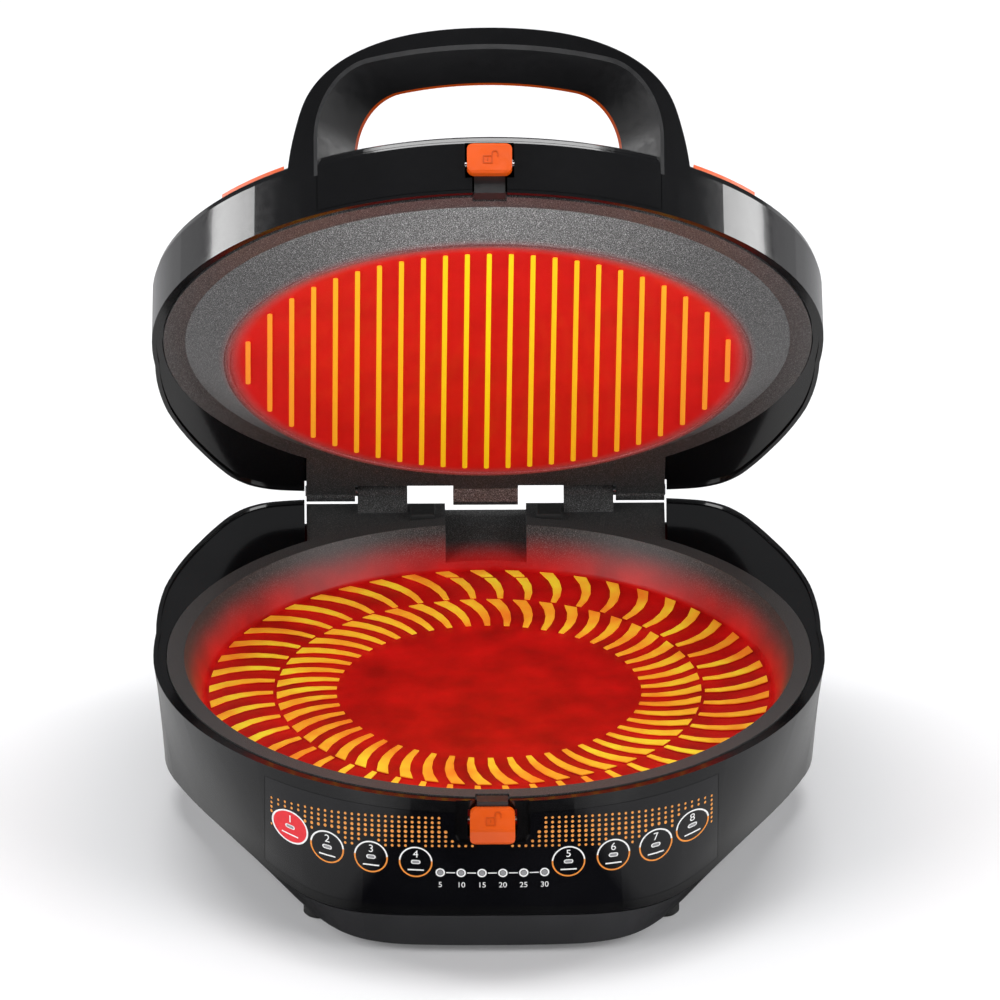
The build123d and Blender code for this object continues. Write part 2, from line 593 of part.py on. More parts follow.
def make_lower_reflector():
    dish = turned(((0, 54.0), (133, 54.0), (141.0, 68.6), (142.0, 68.6), (134.0, 53.2), (0, 53.2)))
    holes = []
    for i in range(3):
        turn = radians(90 + 120 * i)
        holes.append(disc(2.1, 50, 60, 60 * cos(turn), 60 * sin(turn)))
    for sign in (-1, 1):
        turn = radians(90 + sign * (HEATER_GAP_DEG / 2 + 1.5))
        holes.append(disc(5.0, 50, 60, HEATER_R * cos(turn), HEATER_R * sin(turn)))
    collars = []
    for i in range(3):
        turn = radians(90 + 120 * i)
        collars.append(disc(3.9, 53.6, 54.8, 60 * cos(turn), 60 * sin(turn)))
    return dish.fuse(*collars).cut(*holes)


def make_reflector_screws():
    parts = []
    for i in range(3):
        turn = radians(90 + 120 * i)
        x, y = 60 * cos(turn), 60 * sin(turn)
        parts.append(disc(3.2, 51.6, 53.2, x, y).fuse(disc(SCREW_R, 53.0, 64.0, x, y)))
    return Compound(children=parts)


def make_upper_reflector():
    dish = turned(((0, 107.2), (150, 107.2), (154.0, 104.0), (154.6, 104.6), (150.4, 108.0), (0, 108.0)))
    holes = []
    for x, y in LID_SCREW_AT:
        holes += both_sides(disc(2.1, 100, 112, x, y))
    for sign in (-1, 1):
        turn = radians(90 + sign * (HEATER_GAP_DEG / 2 + 1.5))
        holes.append(disc(5.0, 100, 112, HEATER_R * cos(turn), HEATER_R * sin(turn)))
    return dish.cut(*holes)


def make_screws(places, head_z, head_h, tip_z, sign):
    """Screws along Z: each head sits at head_z and the shank runs to tip_z."""
    parts = []
    for x, y in places:
        low, high = sorted((head_z, head_z - sign * head_h))
        shank = sorted((head_z - sign * 0.2, tip_z))
        screw = disc(SCREW_HEAD_R, low, high, x, y).fuse(disc(SCREW_R, *shank, x, y))
        screw -= box_between((x - 2.2, x + 2.2), (y - 0.45, y + 0.45),
                             sorted((head_z - sign * head_h, head_z - sign * (head_h - 1.0))))
        parts += both_sides(screw)
    return Compound(children=parts)


def make_feet():
    parts = []
    for x, y in FOOT_AT:
        foot = disc(FOOT_R, 0.0, FOOT_H + 1.0, x, y)
        foot = chamfer(foot.edges().sort_by(Axis.Z)[0], 1.0)
        parts += both_sides(foot)
    return Compound(children=parts)


def make_rubber_stops():
    block_ = box_between(STOP_X, STOP_Y, (PAN_DECK_Z, PAN_DECK_Z + STOP_H))
    block_ = chamfer(block_.edges().group_by(Axis.Z)[-1], 0.8)
    return Compound(children=both_sides(block_))


def make_hinge_pins():
    pin = rod_x(PIN_R, BARREL_X[0] + 0.5, ARM_X[1] + 0.6, HINGE_Y, HINGE_Z)
    return Compound(children=both_sides(pin))


def make_cord_gland():
    """Bush for the cord, pushed up into an open notch in the shell and held there by the cover."""
    def along_y(r, y_low, y_high):
        return Pos(GLAND_X, (y_low + y_high) / 2, GLAND_Z) * Rot(90, 0, 0) * Cylinder(r, y_high - y_low)

    def tongue(half, y_low, y_high, z_low, z_high):
        return box_between((GLAND_X - half, GLAND_X + half), (y_low, y_high), (z_low, z_high))

    def flange(y_low, y_high):
        return along_y(GLAND_FLANGE_R, y_low, y_high).fuse(
            tongue(GLAND_FLANGE_R, y_low, y_high, SEAM_Z + 1.0, GLAND_Z))

    collar = flange(192, 200.5) - base_block(0.0, SEAM_Z, RIM_Z)
    collar = collar.solids().sort_by(Axis.Y)[-1]
    inner = flange(184, 196) & base_block(WALL, SEAM_Z, RIM_Z)
    neck = tongue(GLAND_NECK, 184, 197.5, SEAM_Z + GLAND_CLEAR, GLAND_Z + GLAND_NECK)
    neck = neck & base_block(0.0, SEAM_Z, RIM_Z)
    return collar.fuse(neck, inner) - along_y(CORD_BORE_R, 180, 205)


def make_control_board():
    board = box_between((-45, 45), (-172.6, -171.0), (38, 68))
    return board


def make_board_parts():
    chip = box_between((-12, 12), (-171.0, -168.6), (46, 58))
    blocks = [chip, box_between((22, 34), (-171.0, -165.0), (42, 50)),
              Pos(-28, -168.0, 52) * Rot(90, 0, 0) * Cylinder(5.0, 6.0)]
    return Compound(children=blocks)


def make_power_board():
    return box_between((-52, 52), (12, 88), (13.0, 14.6))


def make_power_parts():
    blocks = [box_between((-44, -16), (20, 42), (14.6, 34.0)), box_between((-8, 14), (20, 40), (14.6, 30.6)),
              disc(8.0, 14.6, 38.0, 32, 30), box_between((-40, -20), (58, 78), (14.6, 28.0)),
              box_between((-6, 30), (66, 76), (14.6, 30.0))]
    return Compound(children=blocks)


def make_base_wiring():
    runs = []
    for sign in (-1, 1):
        turn = radians(90 + sign * (HEATER_GAP_DEG / 2 + 1.5))
        x, y = HEATER_R * cos(turn), HEATER_R * sin(turn)
        start = (x, y, 68.6 - HEATER_TUBE_R - HEATER_PIN_L - LEAD_CLEAR)
        end = (sign * -16.0 + 8, 84.0, 14.6 + LEAD_CLEAR)
        runs.append(wire(start, (0, 0, -LEAD_BEND), end, (0, 0, -LEAD_BEND)))
    return Compound(children=runs)


def make_lid_leads():
    runs = []
    for sign in (-1, 1):
        turn = radians(90 + sign * (HEATER_GAP_DEG / 2 + 1.5))
        x, y = HEATER_R * cos(turn), HEATER_R * sin(turn)
        start = (x, y, PLATE_FACE_Z + PLATE_T + HEATER_TUBE_R + HEATER_PIN_L + LEAD_CLEAR)
        end = (sign * -9.0, 150.0 - LEAD_CLEAR, 117.0)
        runs.append(wire(start, (0, 0, LEAD_BEND), end, (0, LEAD_BEND, 0)))
    return Compound(children=runs)


def make_terminal_block():
    top = LID_TOP_Z + LID_CROWN - WALL
    return box_between((-16, 16), (150.0, 168.0), (112.0, 122.0))


def swing(shape):
    """Opens a lid piece to the angle shown."""
    return Pos(0, HINGE_Y, HINGE_Z) * Rot(-LID_OPEN, 0, 0) * Pos(0, -HINGE_Y, -HINGE_Z) * shape


def main():
    os.makedirs("parts", exist_ok=True)
    handle = make_handle_solid()
    opening, wide = grip(0.0), grip(LINER_T)
    frame = handle - wide
    liner = (handle & wide) - opening
    back = disc(RIM_R - HANDLE_DEPTH + TRIM_T, 100, 220)
    trim = liner & back
    liner = liner - back
    pan_under = PAN_FLOOR_Z - PAN_T
    plate_back = PLATE_FACE_Z + PLATE_T
    thermostat = disc(9.0, pan_under - 7.0, pan_under).fuse(
        box_between((-16, 16), (-3, 3), (pan_under - 1.2, pan_under)))
    fuse_link = Pos(24, 0, pan_under - 2.5) * Rot(90, 0, 0) * Cylinder(2.5, 24)
    upper_thermostat = disc(9.0, plate_back, plate_back + 7.0).fuse(
        box_between((-16, 16), (-3, 3), (plate_back, plate_back + 1.2)))
    ly, lz = LOWER_PIVOT
    uy, uz = UPPER_PIVOT
    pan_wall, pan_floor = make_lower_pan()
    base = {
        "base_cover": make_base_cover(),
        "lower_shell": make_lower_shell(),
        "control_panel": make_control_panel(),
        "lower_pan": pan_wall,
        "lower_pan_floor": pan_floor,
        "lower_heater": make_heater(pan_under, -1),
        "lower_reflector": make_lower_reflector(),
        "reflector_screws": make_reflector_screws(),
        "lower_thermostat": thermostat,
        "thermal_fuse": fuse_link,
        "hinge_pins": make_hinge_pins(),
        "rubber_stops": make_rubber_stops(),
        "rubber_feet": make_feet(),
        "base_screws": make_screws(BASE_SCREW_AT, 12.0, 3.0, 40.0, 1),
        "cord_gland": make_cord_gland(),
        "control_board": make_control_board(),
        "control_board_parts": make_board_parts(),
        "power_board": make_power_board(),
        "power_board_parts": make_power_parts(),
        "base_wiring": make_base_wiring(),
        "lower_lever": make_lower_lever(),
        "lower_lever_cap": make_lower_cap(),
        "lower_lever_pin": rod_x(LEVER_PIN_R, -CHEEK_X[1], CHEEK_X[1], ly, lz),
        "lower_lever_spring": coil(2.3, 0.5, 1.3, 3.4, LEVER_HALF_W + 0.7, ly, lz),
    }
    lid = {
        "lid_shell": make_lid_shell(),
        "front_fascia": make_front_fascia(),
        "upper_plate": make_upper_plate(),
        "handle_frame": frame,
        "handle_liner": liner,
        "handle_trim": trim,
        "side_trims": make_side_trims(),
        "upper_heater": make_heater(plate_back, 1),
        "upper_reflector": make_upper_reflector(),
        "lid_screws": make_screws(LID_SCREW_AT, 107.2, 2.4, 122.0, 1),
        "upper_thermostat": upper_thermostat,
        "lid_leads": make_lid_leads(),
        "lid_terminal_block": make_terminal_block(),
        "upper_lever": make_upper_lever(),
        "upper_lever_cap": make_upper_cap(),
        "upper_lever_pin": rod_x(LEVER_PIN_R, -CHEEK_X[1], CHEEK_X[1], uy, uz),
        "upper_lever_spring": coil(2.3, 0.5, 1.3, 3.4, LEVER_HALF_W + 0.7, uy, uz),
    }
    middle = Pos(0, CENTRE_SHIFT_Y, 0)
    for name, shape in base.items():
        export_step(middle * shape, f"parts/{name}.step")
    for name, shape in lid.items():
        export_step(middle * swing(shape), f"parts/{name}.step")


main()
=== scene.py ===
# %% [markdown]
# # Electric baking pan
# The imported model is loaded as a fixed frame. This script gives it finishes, prints the
# control panel, adds small raised details, and sets the floor, the lights and the camera.

import json
from math import cos, pi, radians, sin

import bmesh
import bpy
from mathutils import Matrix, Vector
from mathutils.bvhtree import BVHTree


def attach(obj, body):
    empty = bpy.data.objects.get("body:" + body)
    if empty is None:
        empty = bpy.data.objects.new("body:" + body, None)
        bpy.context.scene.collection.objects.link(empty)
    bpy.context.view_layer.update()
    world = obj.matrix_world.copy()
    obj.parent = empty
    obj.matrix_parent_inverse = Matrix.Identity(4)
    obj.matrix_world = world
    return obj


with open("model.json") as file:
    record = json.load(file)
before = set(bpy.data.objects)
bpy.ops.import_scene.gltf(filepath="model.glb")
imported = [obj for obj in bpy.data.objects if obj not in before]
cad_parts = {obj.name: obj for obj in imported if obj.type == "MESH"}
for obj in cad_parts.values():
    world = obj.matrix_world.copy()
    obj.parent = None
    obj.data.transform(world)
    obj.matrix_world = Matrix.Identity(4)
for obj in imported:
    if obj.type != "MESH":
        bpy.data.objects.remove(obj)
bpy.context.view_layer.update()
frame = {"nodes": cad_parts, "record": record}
nodes = frame["nodes"]
bpy.context.scene.view_settings.view_transform = "Standard"
print("nodes in the frame:", len(nodes))


# %% [markdown]
# The solids were drawn in millimetres about the pan's axis, and then centred on their
# footprint. So a place from the drawing is shifted along Y and scaled to metres here. The
# hinge and the angle at which the lid stands open come from the same drawing.

# %% Places shared with the drawing
MM = 0.001
SHIFT_Y = -10.15
HINGE_Y, HINGE_Z = 199.0, 101.0
HINGE = Vector((0, HINGE_Y + SHIFT_Y, HINGE_Z)) * MM
LID_OPEN = radians(51.2)
print("hinge at:", tuple(round(v, 5) for v in HINGE))


# %% New pieces
def new_object(name, mesh, material, body):
    """A piece made of one mesh, finished and riding on a body."""
    piece = bpy.data.objects.new(name, mesh)
    bpy.context.scene.collection.objects.link(piece)
    mesh.materials.append(material)
    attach(piece, body)
    print("piece:", name, "faces:", len(mesh.polygons))
    return piece


# %% [markdown]
# ## Finishes
# No real surface is quite even. Each finish is a small node tree: a base colour with slight
# variation, a roughness that wanders, and a fine bump at the scale of the real surface. The
# nodes could be placed by hand in the shader editor. A builder with a few short methods
# makes the same trees, and every finish then reads as a few lines.

# %% Finish builder
COAT_ROUGHNESS = 0.04
NOISE_LOW, NOISE_HIGH = 0.3, 0.7    # most values of a noise fall between these


class Finish:
    """A material under construction."""

    def __init__(self, name, colour, roughness, metallic=0.0, coat=0.0):
        self.material = bpy.data.materials.new(name)
        self.material.use_nodes = True
        self.tree = self.material.node_tree
        self.shader = self.tree.nodes["Principled BSDF"]
        self.shader.inputs["Base Color"].default_value = (*colour, 1)
        self.shader.inputs["Roughness"].default_value = roughness
        self.shader.inputs["Metallic"].default_value = metallic
        self.shader.inputs["Coat Weight"].default_value = coat
        self.shader.inputs["Coat Roughness"].default_value = COAT_ROUGHNESS
        self.place = self.add("ShaderNodeTexCoord").outputs["Object"]

    def add(self, kind, **settings):
        node = self.tree.nodes.new(kind)
        for key, value in settings.items():
            setattr(node, key, value)
        return node

    def link(self, source, target):
        self.tree.links.new(source, target)

    def math(self, operation, a, b=None):
        node = self.add("ShaderNodeMath", operation=operation)
        for i, value in enumerate((a, b)):
            if value is None:
                continue
            if isinstance(value, (int, float)):
                node.inputs[i].default_value = value
            else:
                self.link(value, node.inputs[i])
        return node.outputs[0]

    def noise(self, scale, detail, stretch=(1, 1, 1)):
        """Noise of about scale cells to the metre. A small stretch draws it out on that axis."""
        mapping = self.add("ShaderNodeMapping")
        mapping.inputs["Scale"].default_value = stretch
        self.link(self.place, mapping.inputs["Vector"])
        node = self.add("ShaderNodeTexNoise")
        node.inputs["Scale"].default_value = scale
        node.inputs["Detail"].default_value = detail
        self.link(mapping.outputs["Vector"], node.inputs["Vector"])
        return node.outputs["Fac"]

    def ramp(self, factor, *stops):
        node = self.add("ShaderNodeValToRGB")
        band = node.color_ramp.elements
        while len(band) < len(stops):
            band.new(1.0)
        for stop, (position, colour) in zip(band, stops):
            stop.position = position
            stop.color = (*colour, 1)
        self.link(factor, node.inputs["Fac"])
        return node.outputs["Color"]

    def spread(self, factor, low, high, out_low, out_high, smooth=False):
        node = self.add("ShaderNodeMapRange")
        if smooth:
            node.interpolation_type = "SMOOTHSTEP"
        self.link(factor, node.inputs["Value"])
        ends = {"From Min": low, "From Max": high, "To Min": out_low, "To Max": out_high}
        for name, value in ends.items():
            node.inputs[name].default_value = value
        return node.outputs["Result"]

    def mix(self, factor, a, b):
        node = self.add("ShaderNodeMix", data_type="RGBA")
        self.link(factor, node.inputs[0])
        for i, value in ((6, a), (7, b)):
            if isinstance(value, tuple):
                node.inputs[i].default_value = (*value, 1)
            else:
                self.link(value, node.inputs[i])
        return node.outputs[2]

    def tones(self, noise, dark, bright):
        """A colour that follows a noise from dark to bright."""
        return self.ramp(noise, (NOISE_LOW, dark), (NOISE_HIGH, bright))

    def levels(self, noise, low, high):
        """A value that follows a noise from low to high."""
        return self.spread(noise, NOISE_LOW, NOISE_HIGH, low, high)

    def fade(self, distance, none, full, smooth=False):
        """0 where a distance is none millimetres, rising to 1 where it is full millimetres."""
        return self.spread(distance, none * MM, full * MM, 0.0, 1.0, smooth)

    def from_point(self, point):
        """Object coordinates measured from a point, which is in metres."""
        node = self.add("ShaderNodeVectorMath", operation="SUBTRACT")
        self.link(self.place, node.inputs[0])
        node.inputs[1].default_value = point
        return node.outputs[0]

    def split(self, vector):
        node = self.add("ShaderNodeSeparateXYZ")
        self.link(vector, node.inputs[0])
        return tuple(node.outputs[axis] for axis in "XYZ")

    def radius(self, x, y):
        squares = (self.math("MULTIPLY", x, x), self.math("MULTIPLY", y, y))
        return self.math("SQRT", self.math("ADD", *squares))

    def colour(self, output):
        self.link(output, self.shader.inputs["Base Color"])

    def roughness(self, output):
        self.link(output, self.shader.inputs["Roughness"])

    def bump(self, height, distance, strength):
        node = self.add("ShaderNodeBump")
        node.inputs["Distance"].default_value = distance
        node.inputs["Strength"].default_value = strength
        self.link(height, node.inputs["Height"])
        self.link(node.outputs["Normal"], self.shader.inputs["Normal"])

    def glow(self, colour, strength):
        self.shader.inputs["Emission Color"].default_value = (*colour, 1)
        self.shader.inputs["Emission Strength"].default_value = strength


# %% [markdown]
# ## Plastic, rubber and boards
# The housing and the lid are black gloss plastic, the film of the panel is glossier, and the
# tray below is dull grey. Caps and trims are orange. An image of plastic could be laid on,
# but noise needs no file and shows no seam. What lies inside, such as boards, leads and
# terminals, gets plain versions, because it only shows when the part is taken to pieces.

# %% Moulded finishes
WANDER_SCALE, PATCH_SCALE = 14, 240    # noise cells to the metre, for colour and roughness
MOULD_BUMP = 0.35


def moulded(name, colour, low, high, grain, depth, coat=0.0):
    """Roughness runs from low to high. grain is cells to the metre, and depth is in metres."""
    f = Finish(name, colour, (low + high) / 2, coat=coat)
    dark = tuple(c * 0.85 for c in colour)
    bright = tuple(min(1.0, c * 1.25 + 0.002) for c in colour)
    f.colour(f.tones(f.noise(WANDER_SCALE, 3), dark, bright))
    f.roughness(f.levels(f.noise(PATCH_SCALE, 3), low, high))
    f.bump(f.noise(grain, 2), depth, MOULD_BUMP)
    return f.material


finishes = {
    "black_gloss": moulded("black gloss", (0.003, 0.003, 0.0035), 0.12, 0.16, 1400, 0.000012, coat=0.25),
    "panel_gloss": moulded("panel gloss", (0.002, 0.002, 0.003), 0.03, 0.07, 900, 0.000004, coat=0.5),
    "cover_grey": moulded("cover grey", (0.030, 0.030, 0.032), 0.28, 0.42, 2600, 0.00003),
    "black_matte": moulded("black satin", (0.010, 0.010, 0.011), 0.34, 0.46, 2600, 0.00003),
    "orange": moulded("orange", (0.70, 0.085, 0.002), 0.30, 0.42, 1800, 0.00002, coat=0.05),
    "rubber_black": moulded("rubber", (0.012, 0.012, 0.012), 0.6, 0.8, 1500, 0.00005),
    "board_green": moulded("board", (0.02, 0.13, 0.05), 0.35, 0.5, 700, 0.00003),
    "device_black": moulded("device", (0.02, 0.02, 0.022), 0.4, 0.6, 1500, 0.00003),
    "lead_red": moulded("lead", (0.42, 0.02, 0.015), 0.35, 0.5, 1500, 0.00002),
    "ceramic_white": moulded("ceramic", (0.72, 0.69, 0.62), 0.3, 0.45, 1200, 0.00003),
}
print("moulded finishes:", len(finishes))


# %% [markdown]
# ## Bare metal
# Pins, springs and screws are steel, the reflectors are bright sheet, and the heaters are
# dull tube. Drawn or rolled metal shows fine lines. They could be anisotropy in the shader.
# Here a noise drawn out along one axis gives roughness and bump the same lines, which can
# also be baked for other programs.

# %% Metal finishes
LINE_SCALE, STAIN_SCALE = 900, 30
LINE_DEPTH, LINE_BUMP = 0.00002, 0.3


def metal(name, colour, low, high, stretch=(1, 1, 1)):
    """Roughness runs from low to high along the lines, which stretch draws out."""
    f = Finish(name, colour, (low + high) / 2, metallic=1.0)
    lines = f.noise(LINE_SCALE, 2, stretch)
    f.roughness(f.levels(lines, low, high))
    f.colour(f.tones(f.noise(STAIN_SCALE, 3), tuple(c * 0.88 for c in colour), colour))
    f.bump(lines, LINE_DEPTH, LINE_BUMP)
    return f.material


finishes["steel"] = metal("steel", (0.62, 0.62, 0.64), 0.22, 0.38, (0.05, 1, 1))
finishes["reflector_steel"] = metal("bright sheet", (0.78, 0.78, 0.80), 0.16, 0.3, (1, 0.1, 1))
finishes["heater_tube"] = metal("heater tube", (0.34, 0.31, 0.29), 0.4, 0.55)
print("plain finishes:", len(finishes))


# %% [markdown]
# ## Castings with painted glow
# Both castings carry a speckled non-stick coating, and their working faces are shown hot, as
# photographed. The heat shows as painted glow: red, orange and yellow laid into the base colour.
# Painting each face would tie the colours to one mesh. Here they follow the distance from the
# casting's axis and the height of its face, read from Object coordinates, so they stay on the metal
# at any pose. Where the glow is painted, the colour also has a faint emission, because hot metal looks lit
# from within.

# %% Coating and glow
COATING_GREYS = ((0.36, 0.045), (0.56, 0.15), (0.72, 0.50))    # places on the ramp, and greys
SPECK_SCALE, SPECK_DEPTH, SPECK_BUMP = 2200, 0.00012, 0.5
HEAT_GLOW = 0.22


def coated(name, level, specular, coat=0.0):
    """Non-stick finish, and the colour of its coating. level scales the speckles' greys."""
    f = Finish(name, (0.03, 0.03, 0.032), 0.42, coat=coat)
    f.shader.inputs["Specular IOR Level"].default_value = specular
    speck = f.noise(SPECK_SCALE, 2)
    stops = [(position, (level * grey,) * 3) for position, grey in COATING_GREYS]
    f.roughness(f.levels(speck, 0.34, 0.52))
    f.bump(speck, SPECK_DEPTH, SPECK_BUMP)
    return f, f.ramp(speck, *stops)


def paint_glow(f, coating, glow_mask, surface):
    """Lays painted glow over the coating, in the base colour and as a faint emission, as far as the mask
    goes from 0 to 1.
    """
    f.colour(f.mix(glow_mask, coating, surface))
    f.link(f.mix(glow_mask, (0, 0, 0), surface), f.shader.inputs["Emission Color"])
    f.shader.inputs["Emission Strength"].default_value = HEAT_GLOW


# %% [markdown]
# The bowl below is painted with a deep red glow, which fades to the coating as it climbs the wall.
# Its swirl of ribs has a brighter painted glow, patched in orange and yellow, and is picked out by its
# height above the floor. The underside of the floor stays cold, with no painted glow.

# %% Lower casting
FLOOR_Z = 72.0
WALL_CLIMB = 0.9                     # how far a climb of the wall counts as distance
LOWER_FADE = (186.0, 154.0)          # distance at which there is no painted glow, and full glow
LOWER_FACE = (69.0, 70.5)            # height below which there is no painted glow, and above it full glow
LOWER_CREST = (72.55, 72.9)          # height at which a rib's brighter painted glow starts, and is full
LOWER_RIB_END = (154.9, 154.5)       # distance at which the ribs' brighter painted glow stops


def lower_casting():
    f, coating = coated("casting lower", level=0.36, specular=0.3)
    x, y, z = f.split(f.from_point((0, SHIFT_Y * MM, 0)))
    radius = f.radius(x, y)
    climb = f.math("MULTIPLY", f.math("SUBTRACT", z, FLOOR_Z * MM), WALL_CLIMB)
    glow_reach = f.fade(f.math("ADD", radius, climb), *LOWER_FADE, smooth=True)
    glow_mask = f.math("MULTIPLY", glow_reach, f.fade(z, *LOWER_FACE))
    rib = f.math("MULTIPLY", f.fade(z, *LOWER_CREST), f.fade(radius, *LOWER_RIB_END))
    rib_glow = f.ramp(f.levels(f.noise(34, 2), 0.0, 1.0), (0.0, (0.93, 0.27, 0.02)),
                        (0.5, (1.0, 0.52, 0.03)), (1.0, (1.0, 0.80, 0.04)))
    ground_glow = f.ramp(f.noise(40, 3), (0.25, (0.30, 0.002, 0.002)),
                    (0.5, (0.46, 0.003, 0.003)), (0.75, (0.60, 0.005, 0.005)))
    # Painted glow: the red ground and the brighter ribs go into the base colour and the emission.
    paint_glow(f, coating, glow_mask, f.mix(rib, ground_glow, rib_glow))
    return f.material


finishes["casting"] = lower_casting()


# %% [markdown]
# The lid's plate is painted with a brighter red glow, and its straight ribs' painted glow runs from
# yellow at the middle to orange at the sides. The plate stands open with the lid, so its coordinates
# are first turned back about the hinge to where they are with the lid shut. The ribs then hang from
# the face, and height tells them from the glowing ground between them. Its rim, with no painted glow, is
# partly metallic.

# %% Upper casting
UPPER_FADE = (149.0, 134.0)          # distance at which there is no painted glow, and full glow
UPPER_FACE = (88.5, 86.5)            # height above which there is no painted glow, and below it full glow
UPPER_CREST = (83.95, 83.75)         # height at which a rib's brighter painted glow starts, and is full
UPPER_RIB_END = (141.8, 141.2)       # distance at which the ribs' brighter painted glow stops
UPPER_RIB_SIDE = 135.0               # distance to the side at which the ribs' painted glow is orange
RIM_METALLIC = 0.75


def upper_casting():
    f, coating = coated("casting upper", level=1.15, specular=0.5, coat=0.1)
    shut = f.add("ShaderNodeVectorRotate", rotation_type="X_AXIS")
    shut.inputs["Angle"].default_value = LID_OPEN
    f.link(f.from_point(HINGE), shut.inputs["Vector"])
    x, back, up = f.split(shut.outputs[0])
    y, z = (f.math("ADD", back, HINGE_Y * MM), f.math("ADD", up, HINGE_Z * MM))
    radius = f.radius(x, y)
    glow_mask = f.math("MULTIPLY", f.fade(radius, *UPPER_FADE, smooth=True), f.fade(z, *UPPER_FACE))
    rib = f.math("MULTIPLY", f.fade(z, *UPPER_CREST), f.fade(radius, *UPPER_RIB_END))
    rib_glow = f.ramp(f.fade(f.math("ABSOLUTE", x), 0.0, UPPER_RIB_SIDE), (0.0, (1.0, 0.78, 0.01)),
                        (0.35, (1.0, 0.60, 0.015)), (1.0, (0.95, 0.30, 0.03)))
    ground_glow = f.tones(f.noise(26, 4), (0.56, 0.004, 0.005), (0.68, 0.007, 0.007))
    # Painted glow: the red ground and the brighter ribs go into the base colour and the emission.
    paint_glow(f, coating, glow_mask, f.mix(rib, ground_glow, rib_glow))
    f.link(f.spread(glow_mask, 0.0, 0.5, RIM_METALLIC, 0.0), f.shader.inputs["Metallic"])
    return f.material


plate_finish = upper_casting()


# %% [markdown]
# The imported record says which slot each node belongs to, so the finishes go on by slot. Only
# the lid's plate differs from its slot, because its painted glow is measured from another axis.

# %% Finishes onto the nodes
slots = {part["node"]: part["material_slot"] for part in frame["record"]["subparts"]}
for name, node in nodes.items():
    finish = plate_finish if name == "upper_plate" else finishes[slots[name]]
    for slot in node.material_slots:
        slot.material = finish
print("nodes finished:", len(nodes))


# %% [markdown]
# ## Printed panel
# The keys and lights are printed on a glossy film that bends round the housing. A picture on
# the film could show them. Flat meshes stay sharp close up and need no unwrapping. Each mark
# is drawn flat, as (x, z) points in millimetres. Every point is then dropped onto the film by
# a ray along +Y, and lifted off it by a fraction of a millimetre.

# %% Marks that follow the film
RAY_START_Y = -400
film = nodes["control_panel"].data
film_tree = BVHTree.FromPolygons([v.co for v in film.vertices], [tuple(p.vertices) for p in film.polygons])
print("faces of the film:", len(film.polygons))


def on_panel(x, z, lift):
    """Point and outward direction on the film, or None twice where the ray misses it."""
    hit, normal, _, _ = film_tree.ray_cast(Vector((x, RAY_START_Y, z)) * MM, Vector((0, 1, 0)))
    if hit is None:
        return None, None
    return hit - Vector((0, lift, 0)) * MM, normal


def print_mark(name, polygons, material, lift):
    """One printed piece from polygons of (x, z) points. A polygon off the film is left out."""
    mesh = bpy.data.meshes.new(name)
    points, faces = [], []
    for polygon in polygons:
        placed = [on_panel(x, z, lift)[0] for x, z in polygon]
        if any(p is None for p in placed):
            continue
        faces.append(tuple(range(len(points), len(points) + len(placed))))
        points += placed
    mesh.from_pydata(points, [], faces)
    return new_object(name, mesh, material, "base")


# %% Flat shapes
def bar(left, low, right, high):
    """Outline of an upright rectangle."""
    return [(left, low), (right, low), (right, high), (left, high)]


def ring(x, z, outer, inner, start=0.0, end=360.0, steps=48):
    """Short pieces of a flat ring, or of a part of one in degrees."""
    pieces = []
    for i in range(steps):
        a, b = (radians(start + (end - start) * k / steps) for k in (i, i + 1))
        corners = ((outer, a), (outer, b), (inner, b), (inner, a))
        pieces.append([(x + r * cos(t), z + r * sin(t)) for r, t in corners])
    return pieces


def pill(x, z, half, r, steps=10):
    """Outline of an oval mark."""
    turns = [pi * (k / steps - 0.5) for k in range(steps + 1)]
    right = [(x + half + r * cos(t), z + r * sin(t)) for t in turns]
    return [right + [(2 * x - px, 2 * z - pz) for px, pz in right]]


def numeral(text, x, z, size):
    """Flat faces of a plain number centred on x, z."""
    curve = bpy.data.curves.new("numeral", "FONT")
    curve.body, curve.size, curve.align_x, curve.align_y = text, size, "CENTER", "CENTER"
    holder = bpy.data.objects.new("numeral", curve)
    bpy.context.scene.collection.objects.link(holder)
    mesh = bpy.data.meshes.new_from_object(holder.evaluated_get(bpy.context.evaluated_depsgraph_get()))
    spots = [(x + v.co.x, z + v.co.y) for v in mesh.vertices]
    polygons = [[spots[i] for i in p.vertices] for p in mesh.polygons]
    bpy.data.objects.remove(holder)
    bpy.data.curves.remove(curve)
    bpy.data.meshes.remove(mesh)
    return polygons


# %% [markdown]
# Printing ink is matt and nearly even. A faint glow keeps the marks as bright against the
# black gloss as they are in the photograph, at any angle.

# %% Inks
def ink(name, colour, glow=0.0):
    f = Finish(name, colour, 0.38)
    f.colour(f.tones(f.noise(500, 2), tuple(c * 0.9 for c in colour), colour))
    f.bump(f.noise(2400, 1), 0.00001, 0.3)
    f.glow(colour, glow)
    return f.material


white_ink = ink("white ink", (0.80, 0.80, 0.80), 0.12)
orange_ink = ink("orange ink", (0.80, 0.26, 0.03), 0.10)
gold_ink = ink("gold ink", (0.78, 0.30, 0.05), 0.08)
red_ink = ink("red ink", (0.72, 0.02, 0.03), 0.10)
grey_ink = ink("grey ink", (0.30, 0.30, 0.31))


# %% [markdown]
# Eight keys stand in two groups that rise towards the sides. A key is a ring, white above and
# orange below, and the first is a red disc instead. Each holds a plain number, a small oval
# light and a bar below it. Rings, bars and the disc are made of short pieces, because one
# long flat face would sink into the curved film.

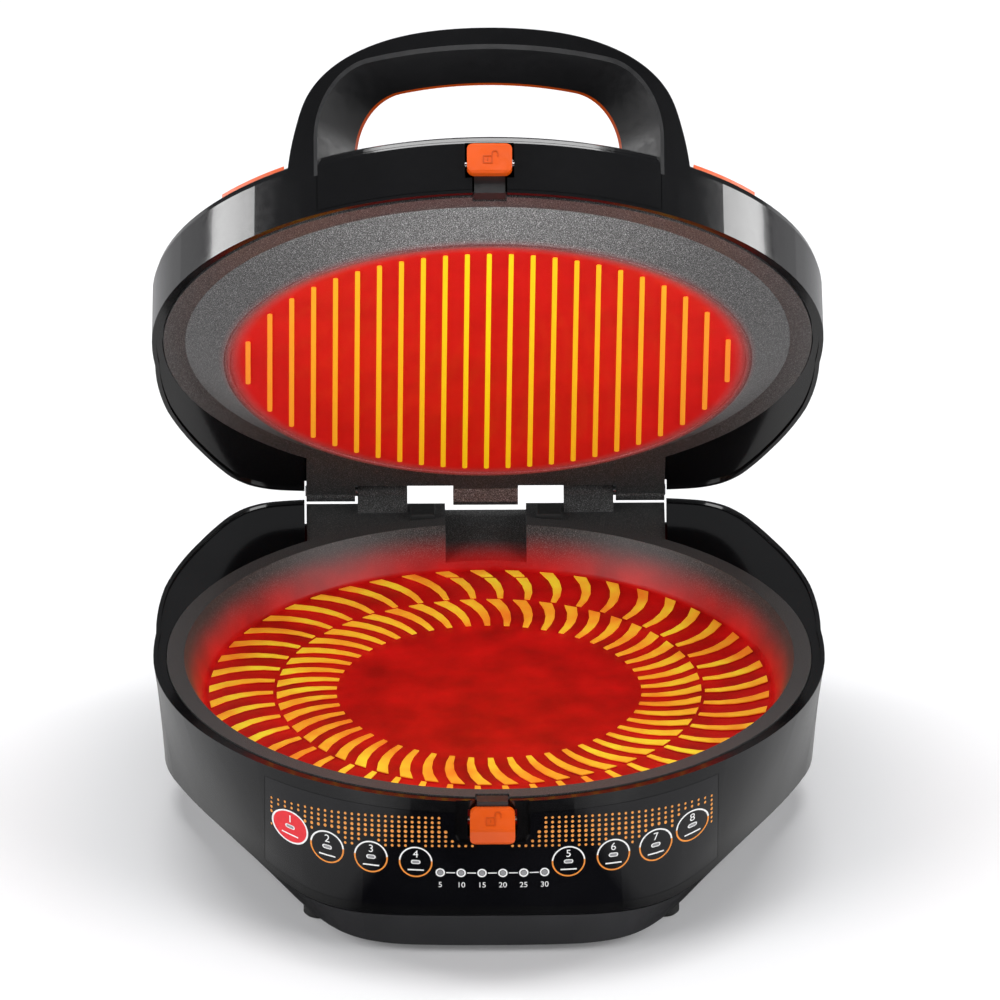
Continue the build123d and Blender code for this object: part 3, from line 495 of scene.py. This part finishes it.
# %% Keys
KEYS = ((-110.4, 62.6), (-90.2, 58.9), (-66.3, 58.1), (-41.9, 57.1),
        (41.6, 57.1), (66.2, 58.6), (89.5, 59.4), (109.8, 62.8))
KEY_RING = (9.2, 8.35)               # outer and inner radius
RED_KEY_RING = (9.9, 9.0)
RED_DISC = (9.3, 6.4, 3.4, 0.02)     # radii of the rings that fill the disc
RING_SPLIT, RING_START = 175, 5      # angles at which a key's white part ends and starts
BAR_PITCH, BAR_PIECE, BAR_PIECES = 2.2, 2.25, 4
white, orange, grey, red = [], [], [], []
for i, (x, z) in enumerate(KEYS):
    if i == 0:
        for outer, inner in zip(RED_DISC, RED_DISC[1:]):
            red += ring(x, z, outer, inner)
        white += ring(x, z, *RED_KEY_RING)
    else:
        white += ring(x, z, *KEY_RING, RING_START, RING_SPLIT)
        orange += ring(x, z, *KEY_RING, RING_SPLIT, RING_START + 360)
    white += pill(x, z, 1.4, 1.2)
    grey += pill(x, z, 1.2, 0.75)
    white += numeral(str(i + 1), x, z + 4.6, 6.2)
    for k in range(BAR_PIECES):
        left = x - 4.4 + BAR_PITCH * k
        white.append(bar(left, z - 5.2, left + BAR_PIECE, z - 4.4))
print("keys:", len(KEYS))


# %% [markdown]
# Six small lights stand in a row between the two groups, joined by dashes, each with a plain
# number below it. Everything of one colour becomes one piece, so the marks are four pieces
# instead of dozens.

# %% Row of lights, and printing
LIGHTS, LIGHT_PITCH, LIGHT_Z = 6, 11.4, 51.2
DASH = (3.2, 8.2, 0.3)               # start and end beside a light's middle, and half height
MARK_LIFT, RED_LIFT, GREY_LIFT = 0.2, 0.12, 0.26
for i in range(LIGHTS):
    x, z = (i - (LIGHTS - 1) / 2) * LIGHT_PITCH, LIGHT_Z
    white += ring(x, z, 2.6, 1.75, steps=24)
    grey += ring(x, z, 1.5, 0.01, steps=20)
    if i < LIGHTS - 1:
        start, end, half = DASH
        white.append(bar(x + start, z - half, x + end, z + half))
    white += numeral(str((i + 1) * 5), x, z - 7.6, 4.6)
print_mark("print_red_key", red, red_ink, RED_LIFT)
print_mark("print_white", white, white_ink, MARK_LIFT)
print_mark("print_orange", orange, orange_ink, MARK_LIFT)
print_mark("print_grey", grey, grey_ink, GREY_LIFT)


# %% [markdown]
# A band of gold dots runs across the film above the keys, with gaps round the keys and under
# the orange cap. The dots could be copied one by one. Geometry Nodes does it from one set of
# points: a small disc goes on each, turned to face out of the film and sized by an attribute,
# so one number changes them all.

# %% Places of the dots
DOT_COLUMNS, DOT_ROWS = 33, 3        # on each side of the middle one
DOT_PITCH_X, DOT_PITCH_Z = 3.65, 2.85
BAND_Z, BAND_DROP, BAND_HALF = 76.6, 10.0, 124
CAP_HALF, CAP_FLARE = 21.5, 0.45     # half width of the gap under the cap, and how it widens
CAP_LOW_Z, CAP_FLARE_Z = 68, 70.0    # heights at which the gap starts and starts to widen
KEY_GAP = 10.6
DOT_LIFT = 0.12
DOT_SHRINK = 0.07                    # share by which each row away from the middle is smaller


def is_bare(x, z):
    """True under the cap and round the keys."""
    under_cap = z > CAP_LOW_Z and abs(x) < CAP_HALF + max(0.0, (z - CAP_FLARE_Z)) * CAP_FLARE
    return under_cap or any((x - kx) ** 2 + (z - kz) ** 2 < KEY_GAP ** 2 for kx, kz in KEYS)


places, facing, sizes = [], [], []
for column in range(-DOT_COLUMNS, DOT_COLUMNS + 1):
    x = column * DOT_PITCH_X
    middle = BAND_Z - BAND_DROP * (x / BAND_HALF) ** 2
    for row in range(-DOT_ROWS, DOT_ROWS + 1):
        z = middle + row * DOT_PITCH_Z
        at, normal = on_panel(x, z, DOT_LIFT)
        if is_bare(x, z) or at is None:
            continue
        places.append(at)
        facing.append(normal)
        sizes.append(1.0 - DOT_SHRINK * abs(row))
print("dots on the panel:", len(places))


# %% Node tree of the dots
def dot_tree(material):
    """A tree that puts a disc on every point, and its input for the disc's radius."""
    tree = bpy.data.node_groups.new("dots on points", "GeometryNodeTree")
    tree.interface.new_socket("Geometry", in_out="INPUT", socket_type="NodeSocketGeometry")
    radius = tree.interface.new_socket("Dot radius", in_out="INPUT", socket_type="NodeSocketFloat")
    tree.interface.new_socket("Geometry", in_out="OUTPUT", socket_type="NodeSocketGeometry")
    add, link = tree.nodes.new, tree.links.new
    start, end = add("NodeGroupInput"), add("NodeGroupOutput")
    disc = add("GeometryNodeMeshCircle")
    disc.fill_type = "NGON"
    disc.inputs["Vertices"].default_value = 12
    spread = add("GeometryNodeInstanceOnPoints")
    turn = add("FunctionNodeAlignRotationToVector")
    turn.axis = "Z"
    face = add("GeometryNodeInputNamedAttribute")
    face.data_type = "FLOAT_VECTOR"
    face.inputs["Name"].default_value = "facing"
    size = add("GeometryNodeInputNamedAttribute")
    size.data_type = "FLOAT"
    size.inputs["Name"].default_value = "size"
    real = add("GeometryNodeRealizeInstances")
    paint = add("GeometryNodeSetMaterial")
    paint.inputs["Material"].default_value = material
    link(start.outputs[0], spread.inputs["Points"])
    link(start.outputs[1], disc.inputs["Radius"])
    link(disc.outputs["Mesh"], spread.inputs["Instance"])
    link(face.outputs["Attribute"], turn.inputs["Vector"])
    link(turn.outputs["Rotation"], spread.inputs["Rotation"])
    link(size.outputs["Attribute"], spread.inputs["Scale"])
    link(spread.outputs["Instances"], real.inputs["Geometry"])
    link(real.outputs["Geometry"], paint.inputs["Geometry"])
    link(paint.outputs["Geometry"], end.inputs[0])
    return tree, radius


# %% Dot band
DOT_RADIUS = 0.98


def dot_band():
    """Runs the tree on the places, and keeps the result as a plain mesh."""
    mesh = bpy.data.meshes.new("print_dots")
    mesh.from_pydata(places, [], [])
    directions = mesh.attributes.new("facing", "FLOAT_VECTOR", "POINT")
    directions.data.foreach_set("vector", [c for normal in facing for c in normal])
    mesh.attributes.new("size", "FLOAT", "POINT").data.foreach_set("value", sizes)
    tree, radius = dot_tree(gold_ink)
    points = bpy.data.objects.new("dot places", mesh)
    bpy.context.scene.collection.objects.link(points)
    modifier = points.modifiers.new("dots", "NODES")
    modifier.node_group = tree
    modifier[radius.identifier] = DOT_RADIUS * MM
    evaluated = points.evaluated_get(bpy.context.evaluated_depsgraph_get())
    flat = bpy.data.meshes.new_from_object(evaluated)
    bpy.data.objects.remove(points)
    bpy.data.meshes.remove(mesh)
    flat.name = "print_dots"
    flat.materials.clear()
    return new_object("print_dots", flat, gold_ink, "base")


dot_band()


# %% [markdown]
# ## Raised details
# A generic open padlock stands in low relief on each orange cap, to say that it releases the
# plate. A bump in the cap's finish could show it, but a thin mesh keeps its edges crisp. It
# rides on the cap's lever, so it rocks with it. It is drawn in (x, up, out) millimetres, and
# a function for each cap turns these into a point of the model.

# %% Padlock
RELIEF = 0.3                         # how far it reaches in front of and behind the cap's face
LINE = 0.55
BOW_X, BOW_UP = 3.0, 2.4             # middle of the bow
BOW_OUTER, BOW_INNER, BOW_STEPS = 1.9, 1.35, 12


def padlock_outlines():
    """Outlines of the pieces of an open padlock about 9 mm tall."""
    left, low, right, high = -3.6, -3.6, 1.6, 1.2
    outlines = [
        bar(left, low, right, low + LINE),
        bar(left, high - LINE, right, high),
        bar(left, low + LINE, left + LINE, high - LINE),
        bar(right - LINE, low + LINE, right, high - LINE),
        bar(-1.3, -1.9, -0.7, -0.4),
    ]
    turns = [pi * k / BOW_STEPS for k in range(BOW_STEPS + 1)]
    outer, inner = ([(BOW_X + r * cos(t), BOW_UP + r * sin(t)) for t in turns]
                    for r in (BOW_OUTER, BOW_INNER))
    for k in range(BOW_STEPS):
        outlines.append([outer[k], outer[k + 1], inner[k + 1], inner[k]])
    return outlines + [bar(1.1, 1.2, 1.65, BOW_UP), bar(4.35, 0.6, 4.9, BOW_UP)]


def padlock(name, body, lay):
    """A padlock as short prisms. lay turns (x, up, out) millimetres into a point."""
    bm = bmesh.new()
    for outline in padlock_outlines():
        back, front = ([bm.verts.new(lay(x, up, out)) for x, up in outline] for out in (-RELIEF, RELIEF))
        bm.faces.new(front)
        for i in range(len(outline)):
            j = (i + 1) % len(outline)
            bm.faces.new((back[i], back[j], front[j], front[i]))
    bmesh.ops.recalc_face_normals(bm, faces=bm.faces)
    mesh = bpy.data.meshes.new(name)
    bm.to_mesh(mesh)
    bm.free()
    return new_object(name, mesh, relief, body)


relief_finish = Finish("orange relief", (0.55, 0.07, 0.003), 0.35)
relief_finish.bump(relief_finish.noise(1800, 2), 0.00002, 0.3)
relief = relief_finish.material


# %% [markdown]
# The lower cap slopes, so its padlock leans back with it. The upper cap is upright when the
# lid is shut, and its padlock turns about the hinge with the lid as shown.

# %% Padlocks on the caps
LOWER_CAP = Vector((0, -190.4 + SHIFT_Y, 87.7))
DOWN_SLOPE = Vector((0, -8.0, -8.6)).normalized()
OFF_SLOPE = Vector((0, -8.6, 8.0)).normalized()
UPPER_CAP_Y, UPPER_CAP_Z = -188.4, 116.0


def on_lower_cap(x, up, out):
    return (LOWER_CAP + Vector((x, 0, 0)) - DOWN_SLOPE * up + OFF_SLOPE * out) * MM


def lid_point(x, y, z):
    """A point given with the lid shut, in millimetres, moved to the lid as shown."""
    back, up = (y - HINGE_Y) * MM, (z - HINGE_Z) * MM
    across = back * cos(LID_OPEN) + up * sin(LID_OPEN)
    return HINGE + Vector((x * MM, across, -back * sin(LID_OPEN) + up * cos(LID_OPEN)))


def on_upper_cap(x, up, out):
    return lid_point(x, UPPER_CAP_Y - out, UPPER_CAP_Z + up)


padlock("padlock_lower", "lower_lever", on_lower_cap)
padlock("padlock_upper", "upper_lever", on_upper_cap)


# %% [markdown]
# ## Floor and world
# Black gloss shows what stands around it more than its own colour. A plain pale floor would
# turn the housing grey. So the camera sees a pale floor and backdrop, while reflections see a
# dark floor that brightens beside the part and in front of it. Light Path tells the rays
# apart, in the floor's material and in the world.

# %% Floor
FLOOR_HALF = 9
DARK_BESIDE = (120, 320)             # distance to the side over which reflections brighten
BRIGHT_FRONT = (-360, -620)          # place in front over which they brighten further


def make_floor():
    mesh = bpy.data.meshes.new("floor")
    corners = bar(-FLOOR_HALF, -FLOOR_HALF, FLOOR_HALF, FLOOR_HALF)
    mesh.from_pydata([(x, y, 0) for x, y in corners], [], [(0, 1, 2, 3)])
    floor = bpy.data.objects.new("floor", mesh)
    bpy.context.scene.collection.objects.link(floor)
    f = Finish("floor", (0.78, 0.78, 0.79), 0.6)
    f.colour(f.tones(f.noise(3, 2), (0.77, 0.77, 0.78), (0.79, 0.79, 0.80)))
    f.glow((0.90, 0.90, 0.92), 0.10)
    x, y, _ = f.split(f.place)
    side = f.fade(f.math("ABSOLUTE", x), *DARK_BESIDE)
    beside = f.ramp(side, (0.0, (0.01, 0.01, 0.01)), (0.25, (0.34, 0.34, 0.34)), (1.0, (0.50, 0.50, 0.51)))
    front = f.fade(y, *BRIGHT_FRONT, smooth=True)
    mirrored = f.add("ShaderNodeEmission")
    f.link(f.mix(front, beside, (3.2, 3.2, 3.22)), mirrored.inputs["Color"])
    mix = f.add("ShaderNodeMixShader")
    f.link(f.add("ShaderNodeLightPath").outputs["Is Glossy Ray"], mix.inputs["Fac"])
    f.link(f.shader.outputs[0], mix.inputs[1])
    f.link(mirrored.outputs[0], mix.inputs[2])
    f.link(mix.outputs[0], f.tree.nodes["Material Output"].inputs["Surface"])
    mesh.materials.append(f.material)


make_floor()


# %% World
WORLD_STRENGTH = 0.16


def make_world():
    world = bpy.data.worlds.new("studio")
    bpy.context.scene.world = world
    world.use_nodes = True
    tree = world.node_tree
    back = tree.nodes["Background"]
    path = tree.nodes.new("ShaderNodeLightPath")
    mix = tree.nodes.new("ShaderNodeMixShader")
    seen = tree.nodes.new("ShaderNodeBackground")
    seen.inputs["Color"].default_value = (0.78, 0.78, 0.80, 1)
    back.inputs["Color"].default_value = (0.62, 0.63, 0.65, 1)
    back.inputs["Strength"].default_value = WORLD_STRENGTH
    tree.links.new(path.outputs["Is Camera Ray"], mix.inputs["Fac"])
    tree.links.new(back.outputs[0], mix.inputs[1])
    tree.links.new(seen.outputs[0], mix.inputs[2])
    tree.links.new(mix.outputs[0], tree.nodes["World Output"].inputs["Surface"])


make_world()


# %% [markdown]
# ## Lights
# Large soft lights give broad, quiet highlights. One high above and behind lights the tops.
# Two wide ones in front, left and right, grey the flanks, and two narrow ones draw the rear
# edges. They could be lamps with small sizes, but those leave hard spots on gloss.

# %% Soft lights
SOFT_LIGHTS = (                      # name, place, target, width and height in metres, watts
    ("top", (0.0, 0.75, 2.4), (0, 0, 0), (2.2, 1.2), 62),
    ("left", (-2.0, -1.1, 0.9), (0, 0, 0.2), (1.5, 1.6), 36),
    ("right", (2.0, -1.1, 0.9), (0, 0, 0.2), (1.5, 1.6), 36),
    ("left back", (-1.8, 0.9, 0.8), (0, 0, 0.3), (0.4, 1.2), 10),
    ("right back", (1.8, 0.9, 0.8), (0, 0, 0.3), (0.4, 1.2), 10),
)


def soft_box(name, place, target, size, power):
    light = bpy.data.lights.new(name, "AREA")
    light.shape = "RECTANGLE"
    light.size, light.size_y = size
    light.energy = power
    lamp = bpy.data.objects.new(name, light)
    lamp.location = place
    lamp.rotation_euler = (Vector(target) - Vector(place)).to_track_quat("-Z", "Y").to_euler()
    bpy.context.scene.collection.objects.link(lamp)


for soft_light in SOFT_LIGHTS:
    soft_box(*soft_light)
print("lights:", len(SOFT_LIGHTS))


# %% [markdown]
# ## Camera
# The photograph's lines are nearly parallel, so it was taken from far off through a long
# lens. A near camera with a wide lens would frame the part as well, but would spread the
# front rim. The angle above the table was measured on the photograph.

# %% Camera
LENS, SENSOR = 1180.0, 36.0
AZIMUTH, ELEVATION, DISTANCE = radians(-0.6), radians(25.5), 18.01
AIM = Vector((6.04, SHIFT_Y, 189.8)) * MM


def make_camera():
    data = bpy.data.cameras.new("camera")
    camera = bpy.data.objects.new("camera", data)
    bpy.context.scene.collection.objects.link(camera)
    bpy.context.scene.camera = camera
    data.lens, data.sensor_width = LENS, SENSOR
    data.clip_start, data.clip_end = 0.5, 80
    flat = cos(ELEVATION)
    back = Vector((sin(AZIMUTH) * flat, -cos(AZIMUTH) * flat, sin(ELEVATION)))
    camera.location = AIM + back * DISTANCE
    camera.rotation_euler = (-back).to_track_quat("-Z", "Y").to_euler()
    print("camera at:", tuple(round(v, 3) for v in camera.location))


make_camera()
